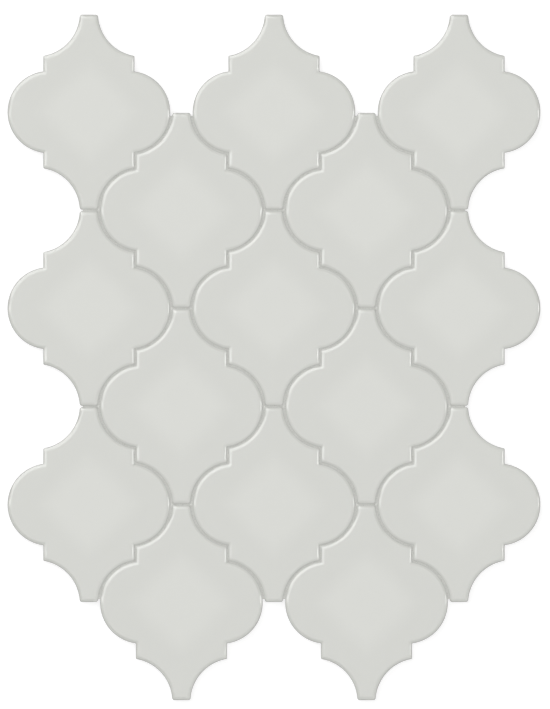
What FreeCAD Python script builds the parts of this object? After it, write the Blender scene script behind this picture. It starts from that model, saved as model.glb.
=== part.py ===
import FreeCAD, Part
import math
import os
import string

from FreeCAD import Vector

# A mosaic sheet of interlocking arabesque (lantern) tiles. Pressed and glazed tiles with one
# shared ogee outline are set in staggered columns, so that each side lobe nests in the hollows of
# its neighbours. A filling runs along the joints, and an open mesh of glass-fibre yarns is bonded
# across the backs, so that the sheet lifts as one piece and can be trimmed or bedded as one.
#
# The sheet lies face up. X runs across the columns, Y along them, and Z = 0 is the underside of
# the backing mesh, below the middle of the sheet. Sizes are in millimetres.

# Tile
TILE_WIDTH = 78.75  # across the two side lobes
TILE_HEIGHT = 94.35  # from tip to tip
TILE_THICKNESS = 6.5
TIP_WIDTH = 9.5  # each tip, before it is drawn in
TIP_EASE = 0.35  # how far each side of a tip is drawn in, so that the joints open towards it
LOBE_RADIUS = 19.85  # round of each side lobe
EDGE_WIDTH = 2.0  # how far the cushioned edge reaches in from the outline
EDGE_DROP = 0.7  # how far the cushioned edge falls below the flat of the face
EDGE_BANDS = 2  # slopes that the cushioned edge is pressed in
KEY_GROOVES = 5  # shallow grooves pressed in the back, which the adhesive keys into
KEY_WIDTH = 4.0
KEY_DEPTH = 0.4
KEY_MARGIN = 3.0  # plain back left between the grooves and the steps in the tile's sides

# Sheet
COLUMNS = 5
ROWS = 3  # tiles in each column
JOINT = 0.7  # gap between neighbouring tiles
JOINT_END = 1.4  # how far the joint filling stops short of the sheet's edge

# Backing mesh
MESH_PITCH = 6.0  # from yarn to yarn, both ways
YARN_WIDTH = 1.1
YARN_THICKNESS = 0.25
MESH_MARGIN = 2.5  # how far the yarns stop short of the sheet's edge

# Places that follow from the sizes above
LOBE_CENTRE = TILE_WIDTH / 2 - LOBE_RADIUS
HOLLOW_CENTRE = TIP_WIDTH / 2 + math.sqrt((LOBE_RADIUS + JOINT) ** 2 - (JOINT / 2) ** 2)
COLUMN_STEP = LOBE_CENTRE + HOLLOW_CENTRE
ROW_STEP = TILE_HEIGHT + JOINT
STAGGER = ROW_STEP / 4  # even columns sit this far up the sheet, odd ones this far down
SHEET_HALF_WIDTH = (COLUMNS - 1) / 2 * COLUMN_STEP + TILE_WIDTH / 2
SHEET_HALF_HEIGHT = (ROWS - 1) / 2 * ROW_STEP + STAGGER + TILE_HEIGHT / 2
TILE_BACK = 2 * YARN_THICKNESS  # the two crossing layers of yarn lie below the tiles


def place(column, row):
    """Centre of a tile in the sheet; the lattice goes on past the sheet's edge."""
    stagger = STAGGER if column % 2 == 0 else -STAGGER
    x = (column - (COLUMNS - 1) / 2) * COLUMN_STEP
    y = ((ROWS - 1) / 2 - row) * ROW_STEP + stagger
    return Vector(x, y, 0)


def tile_places():
    """Column, row and centre of every tile, column by column from the left."""
    return [(c, r, place(c, r)) for c in range(COLUMNS) for r in range(ROWS)]


def neighbour_places():
    """Centres of the tiles of the next sheets, which nest around this one."""
    around = [(c, r) for c in range(-1, COLUMNS + 1) for r in range(-1, ROWS + 1)]
    return [place(c, r) for c, r in around if not (0 <= c < COLUMNS and 0 <= r < ROWS)]


def outline(growth, centre=Vector(), z=0.0):
    """Ogee outline, parallel to the middle line of the joints and that far outside it.

    At growth 0 the outlines of all tiles meet, but for the openings at the tips; a tile's own edge
    is half a joint inside that line. Each hollow starts at its shoulder as an arc round the centre
    of the lobe that nests in it, and is widened from there to reach the drawn-in tip.
    """
    lobe = LOBE_RADIUS + JOINT / 2 + growth
    hollow = LOBE_RADIUS + JOINT / 2 - growth
    step_x = COLUMN_STEP / 2 + growth
    notch_y = math.sqrt(lobe**2 - (step_x - LOBE_CENTRE) ** 2)
    shoulder = Vector(step_x, ROW_STEP / 2 - math.sqrt(hollow**2 - (HOLLOW_CENTRE - step_x) ** 2))
    tip = Vector(HOLLOW_CENTRE - math.sqrt(hollow**2 - growth**2) - TIP_EASE, ROW_STEP / 2 + growth)
    to_tip = tip - shoulder
    to_centre = Vector(HOLLOW_CENTRE, ROW_STEP / 2) - shoulder
    to_middle = to_centre - Vector(hollow, hollow) / math.sqrt(2)
    middle = shoulder + to_middle * (to_tip.dot(to_tip) / (2 * to_tip.dot(to_centre)))
    right_side = [
        (tip.x, -tip.y),
        (middle.x, -middle.y),
        (step_x, -shoulder.y),
        (step_x, -notch_y),
        (LOBE_CENTRE + lobe, 0),
        (step_x, notch_y),
        (step_x, shoulder.y),
        (middle.x, middle.y),
        (tip.x, tip.y),
        (-tip.x, tip.y),
    ]
    curves = []
    for turn in (1, -1):  # the left side is the right one turned half round
        p = [centre + Vector(turn * x, turn * y, z) for x, y in right_side]
        curves += [
            Part.Arc(p[0], p[1], p[2]),
            Part.LineSegment(p[2], p[3]),
            Part.Arc(p[3], p[4], p[5]),
            Part.LineSegment(p[5], p[6]),
            Part.Arc(p[6], p[7], p[8]),
            Part.LineSegment(p[8], p[9]),
        ]
    return Part.Wire([curve.toShape() for curve in curves])


def key_grooves(centre):
    """Grooves along the tile's back, spread evenly between the steps in its sides."""
    half_spread = COLUMN_STEP / 2 - KEY_MARGIN - KEY_WIDTH / 2
    half_length = ROW_STEP / 4 - KEY_MARGIN
    grooves = []
    for number in range(KEY_GROOVES):
        x = half_spread * (2 * number / (KEY_GROOVES - 1) - 1)
        corner = centre + Vector(x - KEY_WIDTH / 2, -half_length, TILE_BACK)
        grooves.append(Part.makeBox(KEY_WIDTH, 2 * half_length, KEY_DEPTH, corner))
    return grooves


def tile(centre):
    """One tile: straight sides, a face that rolls over to them in a cushioned edge, a keyed back."""
    top = TILE_BACK + TILE_THICKNESS
    sections = [outline(-JOINT / 2, centre, TILE_BACK)]
    for band in range(EDGE_BANDS + 1):
        share = band / EDGE_BANDS
        inset = EDGE_WIDTH * share
        drop = EDGE_DROP * (1 - share) ** 2  # the slopes follow a parabola
        sections.append(outline(-JOINT / 2 - inset, centre, top - drop))
    return Part.makeLoft(sections, True, True).cut(key_grooves(centre)).Solids[0]


def footprint(margin):
    """Face of the whole sheet, joints included, trimmed that far inside its outer tile edges."""
    corner = Vector(-SHEET_HALF_WIDTH, -SHEET_HALF_HEIGHT, 0)
    sheet = Part.makePlane(2 * SHEET_HALF_WIDTH, 2 * SHEET_HALF_HEIGHT, corner)
    return sheet.cut([Part.Face(outline(JOINT / 2 + margin, centre)) for centre in neighbour_places()])


def joint_filling():
    """Web that fills the joints up to where the cushioned edges of the tiles begin."""
    tiles = [Part.Face(outline(-JOINT / 2, centre)) for _, _, centre in tile_places()]
    web = footprint(JOINT_END).cut(tiles).Faces[0]
    web.translate(Vector(0, 0, TILE_BACK))
    return web.extrude(Vector(0, 0, TILE_THICKNESS - EDGE_DROP))


def yarns(ground, along, across, half_length, half_spread, z):
    """Parallel yarns in one layer, a pitch apart, each cut where the sheet's edge crosses it."""
    count = int(half_spread / MESH_PITCH)
    side = across * (YARN_WIDTH / 2)
    layer = []
    for number in range(-count, count + 1):
        middle = across * (number * MESH_PITCH) + Vector(0, 0, z)
        line = Part.makeLine(middle - along * half_length, middle + along * half_length)
        for run in line.common(ground).Edges:
            if run.Length > MESH_PITCH:  # a shorter end crosses no other yarn and falls off
                ends = sorted((v.Point for v in run.Vertexes), key=along.dot)
                corners = [ends[0] - side, ends[0] + side, ends[1] + side, ends[1] - side]
                base = Part.Face(Part.makePolygon(corners + corners[:1]))
                layer.append(base.extrude(Vector(0, 0, YARN_THICKNESS)))
    return Part.makeCompound(layer)


def backing_mesh():
    """The two layers of yarn: the long ones below, and the cross ones bonded to the tile backs."""
    x, y = Vector(1, 0, 0), Vector(0, 1, 0)
    ground = footprint(MESH_MARGIN)
    raised = ground.translated(Vector(0, 0, YARN_THICKNESS))
    return {
        "mesh_long_yarns": yarns(ground, y, x, SHEET_HALF_HEIGHT, SHEET_HALF_WIDTH, 0),
        "mesh_cross_yarns": yarns(raised, x, y, SHEET_HALF_WIDTH, SHEET_HALF_HEIGHT, YARN_THICKNESS),
    }


def main():
    os.makedirs("parts", exist_ok=True)
    nodes = backing_mesh()
    nodes["joint_filling"] = joint_filling()
    for column, row, centre in tile_places():
        nodes[f"tile_{string.ascii_lowercase[column]}{row + 1}"] = tile(centre)
    for name, shape in nodes.items():
        state = "valid" if shape.isValid() else "NOT VALID"
        print(f"{name}: {len(shape.Solids)} solids, {shape.Volume:.0f} mm3, {state}")
        shape.exportStep(f"parts/{name}.step")


main()
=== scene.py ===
"""Looks for a mosaic sheet of interlocking arabesque tiles.

Each tile gets its rolled glaze edge, softened corners and keyed bisque back, the joints their sandy
filling, and the backing mesh its woven glass-fibre yarns. The sheet lies face up on a pale floor
and is seen from straight above. Lengths are in metres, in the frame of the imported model.
"""

import math

import bmesh
import bpy
import numpy as np
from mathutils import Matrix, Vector, noise
from mathutils.bvhtree import BVHTree
from mathutils.geometry import tessellate_polygon


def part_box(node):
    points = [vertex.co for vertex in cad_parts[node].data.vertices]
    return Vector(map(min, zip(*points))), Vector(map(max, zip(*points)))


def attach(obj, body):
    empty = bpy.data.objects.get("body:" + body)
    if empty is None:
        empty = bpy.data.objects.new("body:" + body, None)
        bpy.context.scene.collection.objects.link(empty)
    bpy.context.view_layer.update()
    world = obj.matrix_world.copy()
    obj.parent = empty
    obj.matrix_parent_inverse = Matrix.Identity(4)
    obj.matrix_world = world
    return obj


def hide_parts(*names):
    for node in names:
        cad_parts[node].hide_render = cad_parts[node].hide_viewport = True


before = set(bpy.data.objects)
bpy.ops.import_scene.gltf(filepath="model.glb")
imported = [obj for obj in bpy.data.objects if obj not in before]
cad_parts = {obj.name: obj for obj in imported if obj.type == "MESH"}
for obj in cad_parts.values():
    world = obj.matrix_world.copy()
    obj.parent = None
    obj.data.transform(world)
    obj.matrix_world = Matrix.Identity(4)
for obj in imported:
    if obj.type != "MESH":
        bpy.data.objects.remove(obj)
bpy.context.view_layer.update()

bl_info = {
    "name": "Arabesque mosaic sheet",
    "version": (1, 0, 0),
    "blender": (4, 5, 0),
    "location": "3D View > Sidebar > Mosaic",
    "description": "Dresses a packed mosaic sheet with glaze, joint filling, yarns and a studio",
    "category": "Object",
}

TILE_NODES = sorted(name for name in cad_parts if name.startswith("tile_"))
TILE_LOW, TILE_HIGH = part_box(TILE_NODES[0])
LONG_LOW, LONG_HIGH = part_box("mesh_long_yarns")
FILLING_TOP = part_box("joint_filling")[1].z
JOINT_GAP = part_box("tile_a1")[0].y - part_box("tile_a2")[1].y

# Points along the parts of a quarter of a tile's outline
TIP_POINTS = 4
TIP_ROUND_POINTS = 6
ARC_POINTS = 22  # along a hollow, and along half of a lobe
CORNER_POINTS = 5
STEP_POINTS = 5

EDGE_RINGS = 11  # rings over the rolled edge, from the outline to the rim of the face
FACE_RINGS = (0.9, 0.75, 0.55, 0.3)  # further rings, as shares of the rim
GLAZE_FLOW = 0.3  # growth of the corner radii with a ring's distance inside the outline

# Points along and across the joint filling
FILLING_LOBE_POINTS = 61
FILLING_STEP_POINTS = 5
FILLING_END_POINTS = 8
FILLING_TOP_POINTS = 7
WAVES = 700.0  # scale of the unevenness of its tooled surface, for each metre

YARN_SIDES = 6
SHARP_ANGLE = math.radians(35)  # edges between faces that meet at more than this stay sharp
PICTURE_HEIGHT = 709  # pixels along the picture's longer side


def length(name, description, default):
    """A size that the user can change, in metres."""
    return bpy.props.FloatProperty(
        name=name, description=description, default=default, unit="LENGTH", precision=5
    )


def colour(name, description, default):
    """A colour that the user can change, in linear light."""
    return bpy.props.FloatVectorProperty(
        name=name, description=description, default=default, subtype="COLOR", size=3, min=0, max=1
    )


def amount(name, description, default):
    """A plain number that the user can change."""
    return bpy.props.FloatProperty(name=name, description=description, default=default, precision=4)


class MosaicTileSettings(bpy.types.PropertyGroup):
    """Sizes and colours of the tiles."""

    tip_width: length("Tip width", "Width of each tip, before it is drawn in", 0.0095)
    tip_ease: length("Tip ease", "How far each side of a tip is drawn in", 0.00035)
    lobe_radius: length("Lobe radius", "Round of each side lobe", 0.01985)
    corner_radius: length("Corner radius", "Softening of the outline's corners", 0.0005)
    tip_radius: length("Tip radius", "Softening of the corners at the tips", 0.0011)
    edge_width: length("Edge width", "How far the rolled edge reaches in from the outline", 0.002)
    face_crown: length("Face crown", "Rise of the face from its rim to its middle", 0.00006)
    arris: length("Arris", "Small bevel round the back", 0.00025)
    key_width: length("Key width", "Width of each groove in the back", 0.004)
    key_depth: length("Key depth", "Depth of each groove in the back", 0.0004)
    key_margin: length("Key margin", "Plain back between the grooves and the side steps", 0.003)
    key_grooves: bpy.props.IntProperty(
        name="Key grooves", description="Grooves in the back of a tile", default=5, min=2
    )
    glaze_height: length("Glaze height", "Where the glaze stops on the sides, above the floor", 0.0021)
    rim_colour: colour("Rim glaze", "Colour of the glaze near the outline", (0.66, 0.667, 0.629))
    # The middle glaze colour makes each face lighter in a soft diamond in its middle
    middle_colour: colour("Middle glaze", "Colour of the glaze where it pools", (0.7, 0.707, 0.667))
    # Painted shade: this colour and the height below paint the outer edge of the face a darker grey,
    # where it falls into shade
    edge_shade_colour: colour(
        "Thin glaze", "Colour of the glaze where it runs thin over the outer edge", (0.46, 0.465, 0.44)
    )
    edge_shade_height: length("Thin height", "How far up the rolled edge the glaze is thin", 0.00033)
    cloud_colour: colour("Clouding", "Colour of the faint clouds in the glaze", (0.58, 0.585, 0.55))
    bisque_colour: colour("Bisque", "Colour of the unglazed body", (0.78, 0.75, 0.69))
    shade_colour: colour("Bisque shade", "Colour of the fine grain in the body", (0.70, 0.66, 0.59))
    speck_colour: colour("Specks", "Colour of the few darker specks in the body", (0.45, 0.40, 0.34))
    gloss: amount("Glaze roughness", "Roughness of the glaze", 0.07)


class MosaicFillingSettings(bpy.types.PropertyGroup):
    """Sizes and colours of the joint filling."""

    edge_cover: length("Edge cover", "How far the filling reaches over the rolled edges", 0.00015)
    joint_end: length("Joint end", "How far the filling stops short of the sheet's edge", 0.0014)
    tooling: length("Tooling", "Depth of the hollow that the filling is tooled to", 0.0001)
    waviness: length("Waviness", "Unevenness of the tooled surface", 0.00003)
    base_colour: colour("Filling", "Main colour of the joint filling", (0.612, 0.617, 0.584))
    grain_colour: colour("Grain", "Colour of the darker grains in it", (0.46, 0.46, 0.43))
    patch_colour: colour("Patches", "Colour of the soft patches in it", (0.61, 0.61, 0.58))
    # Painted light: the filling is painted paler where joints meet and are wide, as more light falls
    # into them there
    painted_light_colour: colour(
        "Wide filling", "Colour where joints meet, as it dries paler there", (0.81, 0.815, 0.78)
    )
    painted_light_room: length("Wide room", "Distance from the tiles at which it is that pale", 0.00065)


class MosaicMeshSettings(bpy.types.PropertyGroup):
    """Sizes and colours of the backing mesh."""

    yarn_width: length("Yarn width", "Width of a flat yarn", 0.0011)
    pitch: length("Pitch", "Distance from yarn to yarn", 0.006)
    segment: length("Segment", "Length of one straight bit of a woven yarn", 0.0015)
    yarn_colour: colour("Yarn", "Colour of the coated glass fibre", (0.84, 0.84, 0.81))
    shade_colour: colour("Yarn shade", "Colour between its fibres", (0.62, 0.62, 0.6))


class MosaicStageSettings(bpy.types.PropertyGroup):
    """Camera, light and floor."""

    focal_length: bpy.props.FloatProperty(
        name="Focal length", description="Lens of the camera", default=600.0, unit="CAMERA"
    )
    pixel: length("Pixel", "Width of one picture pixel on the tile faces", 0.0004843)
    camera_x: length("Camera X", "Middle of the picture, across the sheet", 0.0005)
    camera_y: length("Camera Y", "Middle of the picture, along the sheet", 0.0014)
    floor_colour: colour("Floor", "Colour of the floor", (0.35, 0.35, 0.35))
    floor_glow: amount("Floor glow", "White that the floor adds for the camera", 0.8)
    sky: amount("Sky", "Strength of the even light all round", 0.135)
    top: amount("Top light", "Power of the panel overhead, in watts", 70.0)
    key: amount("Key light", "Power of the wide panel at the upper left, in watts", 118.0)
    crest: amount("Crest light", "Power of the dim panel above the key light, in watts", 22.0)
    left: amount("Left light", "Power of the narrow panel at the left, in watts", 12.2)
    side: amount("Side light", "Power of the small panel at the right, in watts", 17.8)
    fill: amount("Fill light", "Power of the dim panel at the lower right, in watts", 41.0)


def add_object(name, mesh):
    """Links a finished mesh to the scene as an object at the origin."""
    piece = bpy.data.objects.new(name, mesh)
    bpy.context.scene.collection.objects.link(piece)
    return piece


class Shader:
    """Short way to add and link the nodes of one material."""

    def __init__(self, name):
        self.material = bpy.data.materials.new(name)
        self.material.use_nodes = True
        self.tree = self.material.node_tree
        self.tree.nodes.clear()
        self.output = self.add("ShaderNodeOutputMaterial")

    def add(self, kind, **settings):
        """Adds a node. Settings are its own properties."""
        node = self.tree.nodes.new(kind)
        for key, value in settings.items():
            setattr(node, key, value)
        return node

    def link(self, source, target):
        self.tree.links.new(source, target)

    def feed(self, socket, value):
        """Sets a socket to a plain value, or links another socket to it."""
        if isinstance(value, bpy.types.NodeSocket):
            self.link(value, socket)
        else:
            socket.default_value = value

    def math(self, operation, first, second=0.0):
        node = self.add("ShaderNodeMath", operation=operation)
        self.feed(node.inputs[0], first)
        self.feed(node.inputs[1], second)
        return node.outputs[0]

    def ramp(self, value, low, high, to_low=0.0, to_high=1.0):
        """Maps a value smoothly from one range to another."""
        node = self.add("ShaderNodeMapRange", interpolation_type="SMOOTHSTEP")
        self.feed(node.inputs["Value"], value)
        ends = {"From Min": low, "From Max": high, "To Min": to_low, "To Max": to_high}
        for key, number in ends.items():
            self.feed(node.inputs[key], number)
        return node.outputs["Result"]

    def mix(self, factor, first, second):
        """Mixes two colours."""
        node = self.add("ShaderNodeMix", data_type="RGBA")
        self.feed(node.inputs["Factor"], factor)
        for socket, value in ((node.inputs[6], first), (node.inputs[7], second)):
            self.feed(socket, value if isinstance(value, bpy.types.NodeSocket) else (*value, 1.0))
        return node.outputs[2]

    def noise(self, vector, scale, detail=2.0):
        node = self.add("ShaderNodeTexNoise")
        self.link(vector, node.inputs["Vector"])
        node.inputs["Scale"].default_value = scale
        node.inputs["Detail"].default_value = detail
        return node.outputs["Fac"]

    def bump(self, height, distance, normal=None):
        node = self.add("ShaderNodeBump")
        self.link(height, node.inputs["Height"])
        node.inputs["Distance"].default_value = distance
        if normal is not None:
            self.link(normal, node.inputs["Normal"])
        return node.outputs["Normal"]

    def place(self):
        """Object coordinates, which are metres in the sheet's frame."""
        return self.add("ShaderNodeTexCoord").outputs["Object"]

    def surface(self, shader):
        self.link(shader, self.output.inputs["Surface"])


def glazed_body(settings):
    """Pale grey gloss glaze over a buff bisque, which shows on the back and low on the sides."""
    s = Shader("pale_grey_glaze")
    place = s.place()
    plan = s.add("ShaderNodeSeparateXYZ")
    s.link(s.add("ShaderNodeUVMap", uv_map="tile_plan").outputs["UV"], plan.inputs[0])

    # The glaze is lighter in a soft diamond in the middle of the face, measured in tile widths
    middle_full, middle_gone, diamond_power = 0.1675, 0.3752, 1.2

    def off_middle(axis):
        """Distance from the middle of the tile along that axis, to the diamond's power."""
        distance = s.math("ABSOLUTE", s.math("SUBTRACT", plan.outputs[axis], 0.5))
        return s.math("POWER", distance, diamond_power)

    spread = s.math("POWER", s.math("ADD", off_middle("X"), off_middle("Y")), 1 / diamond_power)
    middle_share = s.ramp(spread, middle_full, middle_gone, to_low=1.0, to_high=0.0)
    glaze = s.mix(middle_share, settings.rim_colour, settings.middle_colour)

    # Faint clouding keeps the glaze from being one flat colour
    cloud = s.ramp(s.noise(place, scale=45.0, detail=3.0), 0.3, 0.8, to_high=0.03)
    glaze = s.mix(cloud, glaze, settings.cloud_colour)

    # Painted shade: a darker grey band low on the rolled edge and at the top of the sides, where the
    # steep outer edge falls into shade
    height = s.add("ShaderNodeSeparateXYZ")
    s.link(place, height.inputs[0])
    thin, level = settings.edge_shade_height, height.outputs["Z"]
    above = s.ramp(level, FILLING_TOP, FILLING_TOP + thin, to_low=1.0, to_high=0.0)
    below = s.ramp(level, FILLING_TOP - 2 * thin, FILLING_TOP - thin)
    glaze = s.mix(s.math("MULTIPLY", above, below), glaze, settings.edge_shade_colour)

    # Bisque with fine grain and a few darker specks
    grain = s.noise(place, scale=2600.0, detail=3.0)
    bisque = s.mix(s.ramp(grain, 0.35, 0.7), settings.bisque_colour, settings.shade_colour)
    speck = s.ramp(s.noise(place, scale=900.0, detail=1.0), 0.68, 0.74, to_high=0.5)
    bisque = s.mix(speck, bisque, settings.speck_colour)

    # The glaze ends in an uneven line low on the sides
    line_sway, line_blur = 0.0018, 0.00015
    ripple = s.math("MULTIPLY", s.math("SUBTRACT", s.noise(place, scale=110.0), 0.5), line_sway)
    overlap = s.math("SUBTRACT", level, s.math("ADD", ripple, settings.glaze_height))
    covered = s.ramp(overlap, -line_blur, line_blur)
    bare = s.math("SUBTRACT", 1.0, covered)

    body = s.add("ShaderNodeBsdfPrincipled")
    s.link(s.mix(covered, bisque, glaze), body.inputs["Base Color"])
    bare_roughness = 0.75  # what the bare body adds to the roughness of the glaze
    shiny, dull = settings.gloss * 0.85, settings.gloss * 1.3
    sheen = s.ramp(s.noise(place, scale=160.0), 0.3, 0.7, shiny, dull)
    rough = s.math("ADD", sheen, s.math("MULTIPLY", bare, bare_roughness))
    s.link(rough, body.inputs["Roughness"])
    body.inputs["IOR"].default_value = 1.65
    ripples = s.bump(s.noise(place, scale=120.0), distance=0.00002)
    grit = s.bump(s.math("MULTIPLY", grain, bare), distance=0.00006, normal=ripples)
    s.link(grit, body.inputs["Normal"])
    s.surface(body.outputs[0])
    return s.material


def sandy_filling(settings):
    """Pale cement filling with fine sand in it, painted paler where joints are wide and more light
    falls into them.
    """
    s = Shader("sandy_filling")
    place = s.place()
    sand = s.noise(place, scale=2200.0, detail=3.0)
    patch = s.noise(place, scale=90.0)
    # Painted light: paler with distance from the tiles, where more light falls into wide joints
    room = s.add("ShaderNodeAttribute", attribute_name="room").outputs["Fac"]
    paler = s.ramp(room, JOINT_GAP / 2, settings.painted_light_room)
    paste = s.mix(paler, settings.base_colour, settings.painted_light_colour)
    base = s.mix(s.ramp(sand, 0.45, 0.75), paste, settings.grain_colour)
    base = s.mix(s.ramp(patch, 0.35, 0.75, to_high=0.25), base, settings.patch_colour)
    body = s.add("ShaderNodeBsdfPrincipled")
    s.link(base, body.inputs["Base Color"])
    body.inputs["Roughness"].default_value = 0.9
    body.inputs["Specular IOR Level"].default_value = 0.2
    s.link(s.bump(sand, distance=0.00015), body.inputs["Normal"])
    s.surface(body.outputs[0])
    return s.material


def glass_yarn(settings, name, stretch):
    """Coated glass-fibre yarn: fine pale strands along its length."""
    s = Shader(name)
    strands = s.add("ShaderNodeMapping")
    s.link(s.place(), strands.inputs["Vector"])
    strands.inputs["Scale"].default_value = stretch
    fibre = s.noise(strands.outputs["Vector"], scale=1.0)
    body = s.add("ShaderNodeBsdfPrincipled")
    tint = s.mix(s.ramp(fibre, 0.35, 0.65), settings.shade_colour, settings.yarn_colour)
    s.link(tint, body.inputs["Base Color"])
    body.inputs["Roughness"].default_value = 0.55
    s.link(s.bump(fibre, distance=0.00008), body.inputs["Normal"])
    s.surface(body.outputs[0])
    return s.material


class TileOutline:
    """The ogee outline of the tiles, for rings at any distance inside the edge."""

    def __init__(self, settings):
        width = TILE_HIGH.x - TILE_LOW.x
        joint = JOINT_GAP
        self.radius = settings.lobe_radius
        self.lobe_x = width / 2 - self.radius
        reach = math.sqrt((self.radius + joint) ** 2 - (joint / 2) ** 2)
        self.hollow_x = settings.tip_width / 2 + reach
        self.column_step = self.lobe_x + self.hollow_x
        self.row_step = TILE_HIGH.y - TILE_LOW.y + joint
        self.joint = joint
        self.tip_ease = settings.tip_ease

    def hollow(self, inset):
        """Centre and radius of the upper right hollow.

        It starts at its shoulder as an arc round the lobe that nests in it, and is widened from
        there to reach the drawn-in tip.
        """
        nest = Vector((self.hollow_x, self.row_step / 2))
        radius = self.radius + self.joint + inset
        rise = self.joint / 2 + inset
        tip = nest - Vector((math.sqrt(radius**2 - rise**2) + self.tip_ease, rise))
        step = self.hollow_x - (self.column_step - self.joint) / 2 + inset
        shoulder = nest - Vector((step, math.sqrt(radius**2 - step**2)))
        to_tip, to_nest = tip - shoulder, nest - shoulder
        stretch = to_tip.dot(to_tip) / (2 * to_tip.dot(to_nest))
        return shoulder + to_nest * stretch, radius * stretch

    def opening(self, turns):
        """How much wider the joint round a lobe is that far round from the tips that meet there."""
        centre, radius = self.hollow(0.0)
        shift = centre - Vector((self.hollow_x, self.row_step / 2))
        along = -np.cos(turns) * shift.x - np.abs(np.sin(turns)) * shift.y
        reach = along + np.sqrt(along**2 + radius**2 - shift.length_squared)
        return reach - self.radius - self.joint

    def tip_corner(self, inset, radius):
        """Centre of the round at the right corner of the upper tip."""
        centre, hollow = self.hollow(inset)
        y = (self.row_step - self.joint) / 2 - inset - radius
        return Vector((centre.x - math.sqrt((hollow + radius) ** 2 - (centre.y - y) ** 2), y))

    def ring(self, inset, corner, tip_radius):
        """Closed ring of plan points that far inside the tile's edge, with rounded corners."""
        lobe = self.radius - inset
        hollow_centre, hollow = self.hollow(inset)
        step_x = (self.column_step - self.joint) / 2 - inset

        tip = self.tip_corner(inset, tip_radius)
        tip_y = tip.y + tip_radius
        shoulder_drop = math.sqrt((hollow + corner) ** 2 - (hollow_centre.x - step_x + corner) ** 2)
        shoulder = Vector((step_x - corner, hollow_centre.y - shoulder_drop))
        notch_rise = math.sqrt((lobe + corner) ** 2 - (step_x + corner - self.lobe_x) ** 2)
        notch = Vector((step_x + corner, notch_rise))
        lobe_centre = Vector((self.lobe_x, 0.0))

        def direction(origin, target):
            return math.atan2(target.y - origin.y, target.x - origin.x) % (2 * math.pi)

        def arc(centre, radius, start, end, count):
            turns = np.linspace(start, end, count, endpoint=False)
            return np.stack((centre.x + radius * np.cos(turns), centre.y + radius * np.sin(turns)), 1)

        def line(start, end, count):
            share = np.linspace(0.0, 1.0, count, endpoint=False)[:, None]
            return np.array(start) * (1 - share) + np.array(end) * share

        to_tip, to_shoulder = direction(hollow_centre, tip), direction(hollow_centre, shoulder)
        quarter = np.concatenate((
            line((0.0, tip_y), (tip.x, tip_y), TIP_POINTS),
            arc(tip, tip_radius, math.pi / 2, direction(tip, hollow_centre), TIP_ROUND_POINTS),
            arc(hollow_centre, hollow, to_tip, to_shoulder, ARC_POINTS),
            arc(shoulder, corner, direction(shoulder, hollow_centre), 0.0, CORNER_POINTS),
            line((step_x, shoulder.y), (step_x, notch.y), STEP_POINTS),
            arc(notch, corner, math.pi, direction(notch, lobe_centre), CORNER_POINTS),
            arc(lobe_centre, lobe, direction(lobe_centre, notch), 0.0, ARC_POINTS),
        ))
        end = np.array([[self.lobe_x + lobe, 0.0]])
        back = quarter[:0:-1]
        return np.concatenate((
            quarter, end, back * (1, -1), quarter * (-1, -1), -end, back * (-1, 1)
        ))


def edge_level(inset, settings):
    """Height of the rolled edge that far inside the outline; it falls away in a parabola."""
    rim = TILE_HIGH.z - settings.face_crown
    return rim - (rim - FILLING_TOP) * (1 - inset / settings.edge_width) ** 2


def tile_rings(settings):
    """Rings of a tile from its back edge over the rolled edge to the middle of its face."""
    outline = TileOutline(settings)

    def ring(inset):
        softening = GLAZE_FLOW * inset
        return outline.ring(inset, settings.corner_radius + softening, settings.tip_radius + softening)

    rings = [
        (ring(settings.arris), TILE_LOW.z),
        (ring(0.0), TILE_LOW.z + settings.arris),
    ]
    for inset in np.linspace(0.0, settings.edge_width, EDGE_RINGS):
        rings.append((ring(inset), edge_level(inset, settings)))
    rim = rings[-1][0]
    for scale in FACE_RINGS:
        rings.append((rim * scale, TILE_HIGH.z - settings.face_crown * scale**2))
    return rings


def key_grooves(settings):
    """Corners of the grooves in a tile's back, each as low and high x and y."""
    outline = TileOutline(settings)
    half_spread = outline.column_step / 2 - settings.key_margin - settings.key_width / 2
    half_length = outline.row_step / 4 - settings.key_margin
    half_width = settings.key_width / 2
    middles = np.linspace(-half_spread, half_spread, settings.key_grooves)
    return [(x - half_width, x + half_width, -half_length, half_length) for x in middles]


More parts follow.
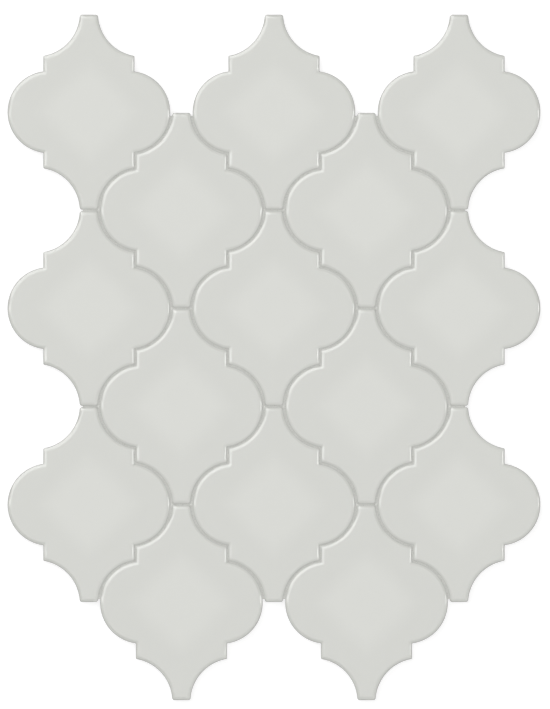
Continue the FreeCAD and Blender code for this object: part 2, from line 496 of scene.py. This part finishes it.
def tile_mesh(name, centre, settings):
    """Mesh of one tile, with its plan as a UV map."""
    build = bmesh.new()
    rows = []
    for points, z in tile_rings(settings):
        rows.append([build.verts.new((centre.x + x, centre.y + y, z)) for x, y in points])
    count = len(rows[0])
    for lower, upper in zip(rows, rows[1:]):
        for i in range(count):
            j = (i + 1) % count
            build.faces.new((lower[i], lower[j], upper[j], upper[i]))
    middle = build.verts.new((centre.x, centre.y, TILE_HIGH.z))
    for i in range(count):
        build.faces.new((rows[-1][i], rows[-1][(i + 1) % count], middle))

    # Back: each groove gets walls and a floor, then the flat is filled round the groove mouths
    loops = [rows[0]]
    for low_x, high_x, low_y, high_y in key_grooves(settings):
        plan = ((low_x, low_y), (high_x, low_y), (high_x, high_y), (low_x, high_y))
        mouth, floor = (
            [build.verts.new((centre.x + x, centre.y + y, z)) for x, y in plan]
            for z in (TILE_LOW.z, TILE_LOW.z + settings.key_depth)
        )
        loops.append(mouth)
        build.faces.new(floor)
        for i in range(4):
            j = (i + 1) % 4
            build.faces.new((mouth[i], mouth[j], floor[j], floor[i]))
    flat = [corner for loop in loops for corner in loop]
    triangles = tessellate_polygon([[corner.co for corner in loop] for loop in loops])
    back = [build.faces.new([flat[i] for i in triangle]) for triangle in triangles]
    edges = dict.fromkeys(edge for face in back for edge in face.edges)  # each once, in a fixed order
    inner = [edge for edge in edges if all(face in back for face in edge.link_faces)]
    bmesh.ops.beautify_fill(build, faces=back, edges=inner)

    bmesh.ops.recalc_face_normals(build, faces=build.faces)
    plan_map = build.loops.layers.uv.new("tile_plan")
    width = TILE_HIGH.x - TILE_LOW.x
    for face in build.faces:
        face.smooth = True
        for loop in face.loops:
            offset = (loop.vert.co - centre) / width
            loop[plan_map].uv = (0.5 + offset.x, 0.5 + offset.y)
    mesh = bpy.data.meshes.new(name)
    build.to_mesh(mesh)
    build.free()
    mesh.set_sharp_from_angle(angle=SHARP_ANGLE)
    return mesh


class MOSAIC_OT_tiles(bpy.types.Operator):
    """Builds the glazed tiles over their CAD solids"""

    bl_idname = "mosaic.tiles"
    bl_label = "Glazed tiles"

    def execute(self, context):
        settings = context.scene.mosaic_tile
        glaze = glazed_body(settings)
        for node in TILE_NODES:
            low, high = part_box(node)
            piece = add_object(f"glazed_{node}", tile_mesh(node, (low + high) / 2, settings))
            piece.data.materials.append(glaze)
            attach(piece, "root")
            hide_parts(node)
        return {"FINISHED"}


def filling_profile(filling, tile):
    """Section of a joint, as offsets from its middle and heights: a tooled hollow on straight sides."""
    half = JOINT_GAP / 2
    reach = half + filling.edge_cover
    edge = edge_level(filling.edge_cover, tile)
    shares = np.linspace(1.0, -1.0, FILLING_TOP_POINTS)
    top = [(share * reach, edge - filling.tooling * (1 - share**2)) for share in shares]
    low = TILE_LOW.z
    return [(-half, FILLING_TOP), (-half, low), (half, low), (half, FILLING_TOP), *top]


def column_joint(outline, lobes, middle, offset, height, end):
    """Line along the joint between two columns, that far to the right of its middle and that high.

    The joint winds round the lobes of both columns in turn, with a straight step between them.
    """
    runs = []
    last = len(lobes) - 1
    for number, (centre, side) in enumerate(lobes):
        radius = outline.radius + outline.joint / 2 + side * offset
        corner = math.acos(side * (middle + offset - centre.x) / radius)
        short = math.asin(end / radius)
        start, stop = corner if number else -short, -corner if number < last else short
        turns = np.linspace(start, stop, FILLING_LOBE_POINTS)
        radius = radius + np.clip(2 * side * offset / outline.joint, 0, 1) * outline.opening(turns)
        x, y = centre.x + side * radius * np.cos(turns), centre.y + radius * np.sin(turns)
        arc = np.stack((x, y, np.full_like(x, height)), 1)
        if runs:
            share = np.linspace(0.0, 1.0, FILLING_STEP_POINTS)[1:-1, None]
            runs.append(runs[-1][-1] * (1 - share) + arc[0] * share)
        runs.append(arc)
    return np.concatenate(runs)


def tip_joint(outline, middle, free, offset, height, filling, tile):
    """Line along the joint between two tips, that far above its middle and that high.

    At its left and right end it follows the soft corners of the tips, and dips under the joint
    between columns. An end that is free stops short of the sheet's edge instead.
    """

    def end(is_free):
        """Places along one end, out from the middle of the joint, and the flare at each."""
        if is_free:
            edge = tile.tip_width / 2 - tile.tip_ease
            return np.array([edge - filling.joint_end]), np.zeros(1)
        turns = np.linspace(0.0, math.pi / 2, FILLING_END_POINTS)
        corner = outline.tip_corner(0.0, tile.tip_radius).x
        return corner + tile.tip_radius * np.sin(turns), 1 - np.cos(turns)

    left, left_flare = end(free[0])
    right, right_flare = end(free[1])
    x = np.concatenate((-left[::-1], right))
    flare = np.concatenate((left_flare[::-1], right_flare))
    spread = np.clip(2 * offset / outline.joint, -1, 1) * tile.tip_radius
    dip = filling.tooling / 2 if height > FILLING_TOP else 0.0
    return np.stack((middle.x + x, middle.y + offset + spread * flare, height - dip * flare), 1)


def joint_lines(filling, tile):
    """Lines along every joint, one for each point of the filling's section."""
    outline = TileOutline(tile)
    profile = filling_profile(filling, tile)
    columns = {}
    for node in TILE_NODES:
        low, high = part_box(node)
        letter = node.removeprefix("tile_")[0]
        columns.setdefault(letter, []).append((low + high) / 2)
    columns = [columns[letter] for letter in sorted(columns)]
    joints = []
    for left, right in zip(columns, columns[1:]):
        lobes = [(centre + Vector((outline.lobe_x, 0.0, 0.0)), 1) for centre in left]
        lobes += [(centre - Vector((outline.lobe_x, 0.0, 0.0)), -1) for centre in right]
        lobes.sort(key=lambda lobe: -lobe[0].y)
        middle = (left[0].x + right[0].x) / 2
        end = filling.joint_end + outline.joint / 2
        joints.append([column_joint(outline, lobes, middle, *point, end) for point in profile])
    for column in columns:
        free = (column is columns[0], column is columns[-1])
        for upper, lower in zip(column, column[1:]):
            middle = (upper + lower) / 2
            joints.append([
                tip_joint(outline, middle, free, *point, filling, tile) for point in profile
            ])
    return joints


def tile_surface():
    """Search tree over the faces of the finished tiles."""
    together = bmesh.new()
    for node in TILE_NODES:
        together.from_mesh(bpy.data.objects[f"glazed_{node}"].data)
    surface = BVHTree.FromBMesh(together)
    together.free()
    return surface


class MOSAIC_OT_filling(bpy.types.Operator):
    """Casts the sandy filling in the joints"""

    bl_idname = "mosaic.filling"
    bl_label = "Joint filling"

    def execute(self, context):
        settings, tile = context.scene.mosaic_filling, context.scene.mosaic_tile
        build = bmesh.new()
        for lines in joint_lines(settings, tile):
            tube = []
            for line in lines:
                wave = settings.waviness if max(line[:, 2]) > FILLING_TOP else 0.0
                row = []
                for x, y, z in line:
                    lift = wave * noise.noise((WAVES * x, WAVES * y, 0.0))
                    row.append(build.verts.new((x, y, z + lift)))
                tube.append(row)
            for first, second in zip(tube, tube[1:] + tube[:1]):
                for i in range(len(first) - 1):
                    build.faces.new((first[i], second[i], second[i + 1], first[i + 1]))
            build.faces.new([row[0] for row in reversed(tube)])
            build.faces.new([row[-1] for row in tube])

        # The colour of the filling follows the distance of each corner from the tiles: painted light,
        # paler where joints are wide and more light falls
        room = build.verts.layers.float.new("room")
        surface = tile_surface()
        for corner in build.verts:
            _, _, _, corner[room] = surface.find_nearest(corner.co)

        for face in build.faces:
            face.smooth = True
        mesh = bpy.data.meshes.new("tooled_filling")
        build.to_mesh(mesh)
        build.free()
        mesh.set_sharp_from_angle(angle=SHARP_ANGLE)
        mesh.materials.append(sandy_filling(settings))
        piece = add_object("tooled_filling", mesh)
        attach(piece, "root")
        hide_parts("joint_filling")
        return {"FINISHED"}


def yarn_runs(node, along):
    """Straight runs of yarn in a CAD layer: place across the yarns, and start and end along them."""
    ends = {}
    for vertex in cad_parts[node].data.vertices:
        across = round(vertex.co[1 - along], 5)
        ends.setdefault(across, set()).add(round(vertex.co[along], 5))
    sides = sorted(ends)
    runs = []
    for left, right in zip(sides[::2], sides[1::2]):
        stops = sorted(ends[left])
        runs += [((left + right) / 2, start, end) for start, end in zip(stops[::2], stops[1::2])]
    return runs


def woven_yarn_tree():
    """Node tree that turns straight edges into flat yarns that go over and under each other."""
    tree = bpy.data.node_groups.new("woven_yarn", "GeometryNodeTree")
    tree.is_modifier = True
    sockets = {}

    def socket(name, kind):
        sockets[name] = tree.interface.new_socket(name, in_out="INPUT", socket_type=kind).identifier

    socket("Geometry", "NodeSocketGeometry")
    socket("Width", "NodeSocketFloat")
    socket("Thickness", "NodeSocketFloat")
    socket("Pitch", "NodeSocketFloat")
    socket("Segment", "NodeSocketFloat")
    socket("Along", "NodeSocketVector")
    socket("Across", "NodeSocketVector")
    socket("Lift", "NodeSocketFloat")
    socket("Material", "NodeSocketMaterial")
    tree.interface.new_socket("Geometry", in_out="OUTPUT", socket_type="NodeSocketGeometry")

    def add(kind, **settings):
        node = tree.nodes.new(kind)
        for key, value in settings.items():
            setattr(node, key, value)
        return node

    def link(source, target):
        tree.links.new(source, target)

    def math_node(operation, first, second):
        node = add("ShaderNodeMath", operation=operation)
        for slot, value in zip(node.inputs, (first, second)):
            if isinstance(value, bpy.types.NodeSocket):
                link(value, slot)
            else:
                slot.default_value = value
        return node.outputs[0]

    def share(direction):
        """Place of a point in that direction, counted in pitches."""
        dot = add("ShaderNodeVectorMath", operation="DOT_PRODUCT")
        link(add("GeometryNodeInputPosition").outputs[0], dot.inputs[0])
        link(given.outputs[direction], dot.inputs[1])
        return math_node("DIVIDE", dot.outputs["Value"], given.outputs["Pitch"])

    given = add("NodeGroupInput")
    curve = add("GeometryNodeMeshToCurve")
    link(given.outputs["Geometry"], curve.inputs["Mesh"])
    bits = add("GeometryNodeResampleCurve", mode="LENGTH")
    link(curve.outputs["Curve"], bits.inputs["Curve"])
    link(given.outputs["Segment"], bits.inputs["Length"])
    count = math_node("ADD", share("Along"), math_node("ROUND", share("Across"), 0.0))
    wave = math_node("COSINE", math_node("MULTIPLY", count, math.pi), 0.0)
    rise = add("ShaderNodeCombineXYZ")
    link(math_node("MULTIPLY", wave, given.outputs["Lift"]), rise.inputs["Z"])
    weave = add("GeometryNodeSetPosition")
    link(bits.outputs["Curve"], weave.inputs["Geometry"])
    link(rise.outputs[0], weave.inputs["Offset"])
    level = add("GeometryNodeSetCurveNormal", mode="Z_UP")
    link(weave.outputs["Geometry"], level.inputs["Curve"])
    circle = add("GeometryNodeCurvePrimitiveCircle")
    circle.inputs["Resolution"].default_value = YARN_SIDES
    circle.inputs["Radius"].default_value = 0.5
    size = add("ShaderNodeCombineXYZ")
    link(given.outputs["Width"], size.inputs["X"])
    link(given.outputs["Thickness"], size.inputs["Y"])
    flat = add("GeometryNodeTransform")
    link(circle.outputs["Curve"], flat.inputs["Geometry"])
    link(size.outputs[0], flat.inputs["Scale"])
    yarn = add("GeometryNodeCurveToMesh")
    link(level.outputs["Curve"], yarn.inputs["Curve"])
    link(flat.outputs["Geometry"], yarn.inputs["Profile Curve"])
    yarn.inputs["Fill Caps"].default_value = True
    real = add("GeometryNodeRealizeInstances")
    link(yarn.outputs["Mesh"], real.inputs["Geometry"])
    paint = add("GeometryNodeSetMaterial")
    link(real.outputs["Geometry"], paint.inputs["Geometry"])
    link(given.outputs["Material"], paint.inputs["Material"])
    result = add("NodeGroupOutput")
    link(paint.outputs["Geometry"], result.inputs["Geometry"])
    return tree, sockets


def woven_layer(name, node, along, lift, material, settings, woven):
    """One layer of the mesh, woven by the node tree and kept as a plain mesh."""
    tree, sockets = woven
    middle = LONG_HIGH.z
    corners = []
    for across, start, end in yarn_runs(node, along):
        for reach in (start, end):
            corners.append((across, reach, middle) if along == 1 else (reach, across, middle))
    source = bpy.data.meshes.new(f"{name}_lines")
    source.from_pydata(corners, [(i, i + 1) for i in range(0, len(corners), 2)], [])
    lines = add_object(f"{name}_lines", source)
    weave = lines.modifiers.new("Weave", "NODES")
    weave.node_group = tree
    axes = [(1.0, 0.0, 0.0), (0.0, 1.0, 0.0)]
    for socket, value in (
        ("Width", settings.yarn_width),
        ("Thickness", LONG_HIGH.z - LONG_LOW.z),
        ("Pitch", settings.pitch),
        ("Segment", settings.segment),
        ("Along", axes[along]),
        ("Across", axes[1 - along]),
        ("Lift", lift),
        ("Material", material),
    ):
        weave[sockets[socket]] = value
    bpy.context.view_layer.update()
    woven_object = lines.evaluated_get(bpy.context.evaluated_depsgraph_get())
    mesh = bpy.data.meshes.new_from_object(woven_object)
    mesh.name = name
    bpy.data.objects.remove(lines)
    bpy.data.meshes.remove(source)
    mesh.shade_smooth()
    piece = add_object(name, mesh)
    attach(piece, "root")
    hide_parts(node)


class MOSAIC_OT_backing(bpy.types.Operator):
    """Weaves the glass-fibre mesh behind the tiles"""

    bl_idname = "mosaic.backing"
    bl_label = "Backing mesh"

    def execute(self, context):
        settings = context.scene.mosaic_mesh
        woven = woven_yarn_tree()
        lift = (LONG_HIGH.z - LONG_LOW.z) / 2
        fine, coarse = 9000.0, 350.0  # scale of the strands across and along a yarn, for each metre
        long_yarn = glass_yarn(settings, "long_glass_yarn", (fine, coarse, fine))
        cross_yarn = glass_yarn(settings, "cross_glass_yarn", (coarse, fine, fine))
        woven_layer("woven_long_yarns", "mesh_long_yarns", 1, -lift, long_yarn, settings, woven)
        woven_layer("woven_cross_yarns", "mesh_cross_yarns", 0, lift, cross_yarn, settings, woven)
        return {"FINISHED"}


def soft_light(name, power, size, azimuth, tilt, distance=5.0):
    """Panel that faces the sheet from that azimuth, tilted that far from overhead, in degrees."""
    data = bpy.data.lights.new(name, "AREA")
    data.energy = power
    data.shape = "RECTANGLE"
    data.size, data.size_y = size
    turn, lean = math.radians(azimuth), math.radians(tilt)
    place = Vector((math.sin(lean) * math.cos(turn), math.sin(lean) * math.sin(turn), math.cos(lean)))
    lamp = bpy.data.objects.new(name, data)
    lamp.location = place * distance
    lamp.rotation_euler = (-place).to_track_quat("-Z", "Y").to_euler()
    bpy.context.scene.collection.objects.link(lamp)


def seen_directly(tree):
    """1 for what the camera sees, also in gloss and glass, and 0 for the light that falls on things."""
    path = tree.nodes.new("ShaderNodeLightPath")
    seen = path.outputs["Is Camera Ray"]
    for kind in ("Is Glossy Ray", "Is Transmission Ray"):
        either = tree.nodes.new("ShaderNodeMath")
        either.operation = "MAXIMUM"
        tree.links.new(seen, either.inputs[0])
        tree.links.new(path.outputs[kind], either.inputs[1])
        seen = either.outputs[0]
    return seen


class MOSAIC_OT_stage(bpy.types.Operator):
    """Sets the floor, the lights and the camera over the sheet"""

    bl_idname = "mosaic.stage"
    bl_label = "Studio"

    def execute(self, context):
        settings = context.scene.mosaic_stage
        scene = context.scene
        scene.view_settings.view_transform = "Standard"

        half = 6.0  # half of the floor's side
        floor_mesh = bpy.data.meshes.new("floor")
        corners = [(-half, -half, 0.0), (half, -half, 0.0), (half, half, 0.0), (-half, half, 0.0)]
        floor_mesh.from_pydata(corners, [], [(0, 1, 2, 3)])
        floor = add_object("floor", floor_mesh)
        s = Shader("pale_floor")
        matte = s.add("ShaderNodeBsdfDiffuse")
        matte.inputs["Color"].default_value = (*settings.floor_colour, 1.0)
        glow = s.add("ShaderNodeEmission")
        away = s.add("ShaderNodeVectorMath", operation="LENGTH")
        s.link(s.place(), away.inputs[0])
        near, far = 0.5, 2.5  # the glow rises to white between these, where less light falls
        level = s.ramp(away.outputs["Value"], near, far, settings.floor_glow, 1.0)
        s.link(s.math("MULTIPLY", seen_directly(s.tree), level), glow.inputs["Strength"])
        both = s.add("ShaderNodeAddShader")
        s.link(matte.outputs[0], both.inputs[0])
        s.link(glow.outputs[0], both.inputs[1])
        s.surface(both.outputs[0])
        floor_mesh.materials.append(s.material)

        world = bpy.data.worlds.new("even_sky")
        world.use_nodes = True
        sky = world.node_tree
        sky.nodes.clear()
        choose = sky.nodes.new("ShaderNodeMixShader")
        sky.links.new(seen_directly(sky), choose.inputs[0])
        for socket, strength in ((choose.inputs[1], settings.sky), (choose.inputs[2], 1.0)):
            even = sky.nodes.new("ShaderNodeBackground")
            even.inputs["Color"].default_value = (1.0, 1.0, 1.0, 1.0)
            even.inputs["Strength"].default_value = strength
            sky.links.new(even.outputs[0], socket)
        out = sky.nodes.new("ShaderNodeOutputWorld")
        sky.links.new(choose.outputs[0], out.inputs["Surface"])
        scene.world = world

        soft_light("top_light", settings.top, size=(4.8, 4.8), azimuth=0, tilt=0, distance=6.0)
        soft_light("key_light", settings.key, size=(3.9, 3.1), azimuth=131, tilt=40)
        soft_light("crest_light", settings.crest, size=(3.5, 1.6), azimuth=138, tilt=16)
        soft_light("left_light", settings.left, size=(0.56, 2.2), azimuth=179, tilt=37)
        soft_light("side_light", settings.side, size=(0.75, 1.55), azimuth=1, tilt=41)
        soft_light("fill_light", settings.fill, size=(6.2, 2.5), azimuth=-47, tilt=37)

        data = bpy.data.cameras.new("camera")
        data.lens = settings.focal_length
        distance = settings.pixel * PICTURE_HEIGHT * data.lens / data.sensor_width
        data.clip_end = 50.0
        camera = bpy.data.objects.new("camera", data)
        camera.location = (settings.camera_x, settings.camera_y, FILLING_TOP + distance)
        scene.collection.objects.link(camera)
        scene.camera = camera
        return {"FINISHED"}


class MOSAIC_PT_panel(bpy.types.Panel):
    """Lists the steps that dress the sheet"""

    bl_idname = "MOSAIC_PT_panel"
    bl_label = "Mosaic sheet"
    bl_space_type = "VIEW_3D"
    bl_region_type = "UI"
    bl_category = "Mosaic"

    def draw(self, context):
        for group, step in STEPS:
            box = self.layout.box()
            settings = getattr(context.scene, group)
            for key in settings.bl_rna.properties.keys():
                if key not in ("rna_type", "name"):
                    box.prop(settings, key)
            box.operator(step.bl_idname)


SETTINGS = {
    "mosaic_tile": MosaicTileSettings,
    "mosaic_filling": MosaicFillingSettings,
    "mosaic_mesh": MosaicMeshSettings,
    "mosaic_stage": MosaicStageSettings,
}
STEPS = (
    ("mosaic_tile", MOSAIC_OT_tiles),
    ("mosaic_filling", MOSAIC_OT_filling),
    ("mosaic_mesh", MOSAIC_OT_backing),
    ("mosaic_stage", MOSAIC_OT_stage),
)
CLASSES = (*SETTINGS.values(), *(step for _, step in STEPS), MOSAIC_PT_panel)


def register():
    for cls in CLASSES:
        bpy.utils.register_class(cls)
    for name, group in SETTINGS.items():
        setattr(bpy.types.Scene, name, bpy.props.PointerProperty(type=group))


def unregister():
    for name in SETTINGS:
        delattr(bpy.types.Scene, name)
    for cls in reversed(CLASSES):
        bpy.utils.unregister_class(cls)


def main():
    register()
    bpy.ops.mosaic.tiles()
    bpy.ops.mosaic.filling()
    bpy.ops.mosaic.backing()
    bpy.ops.mosaic.stage()


if __name__ == "__main__":
    main()
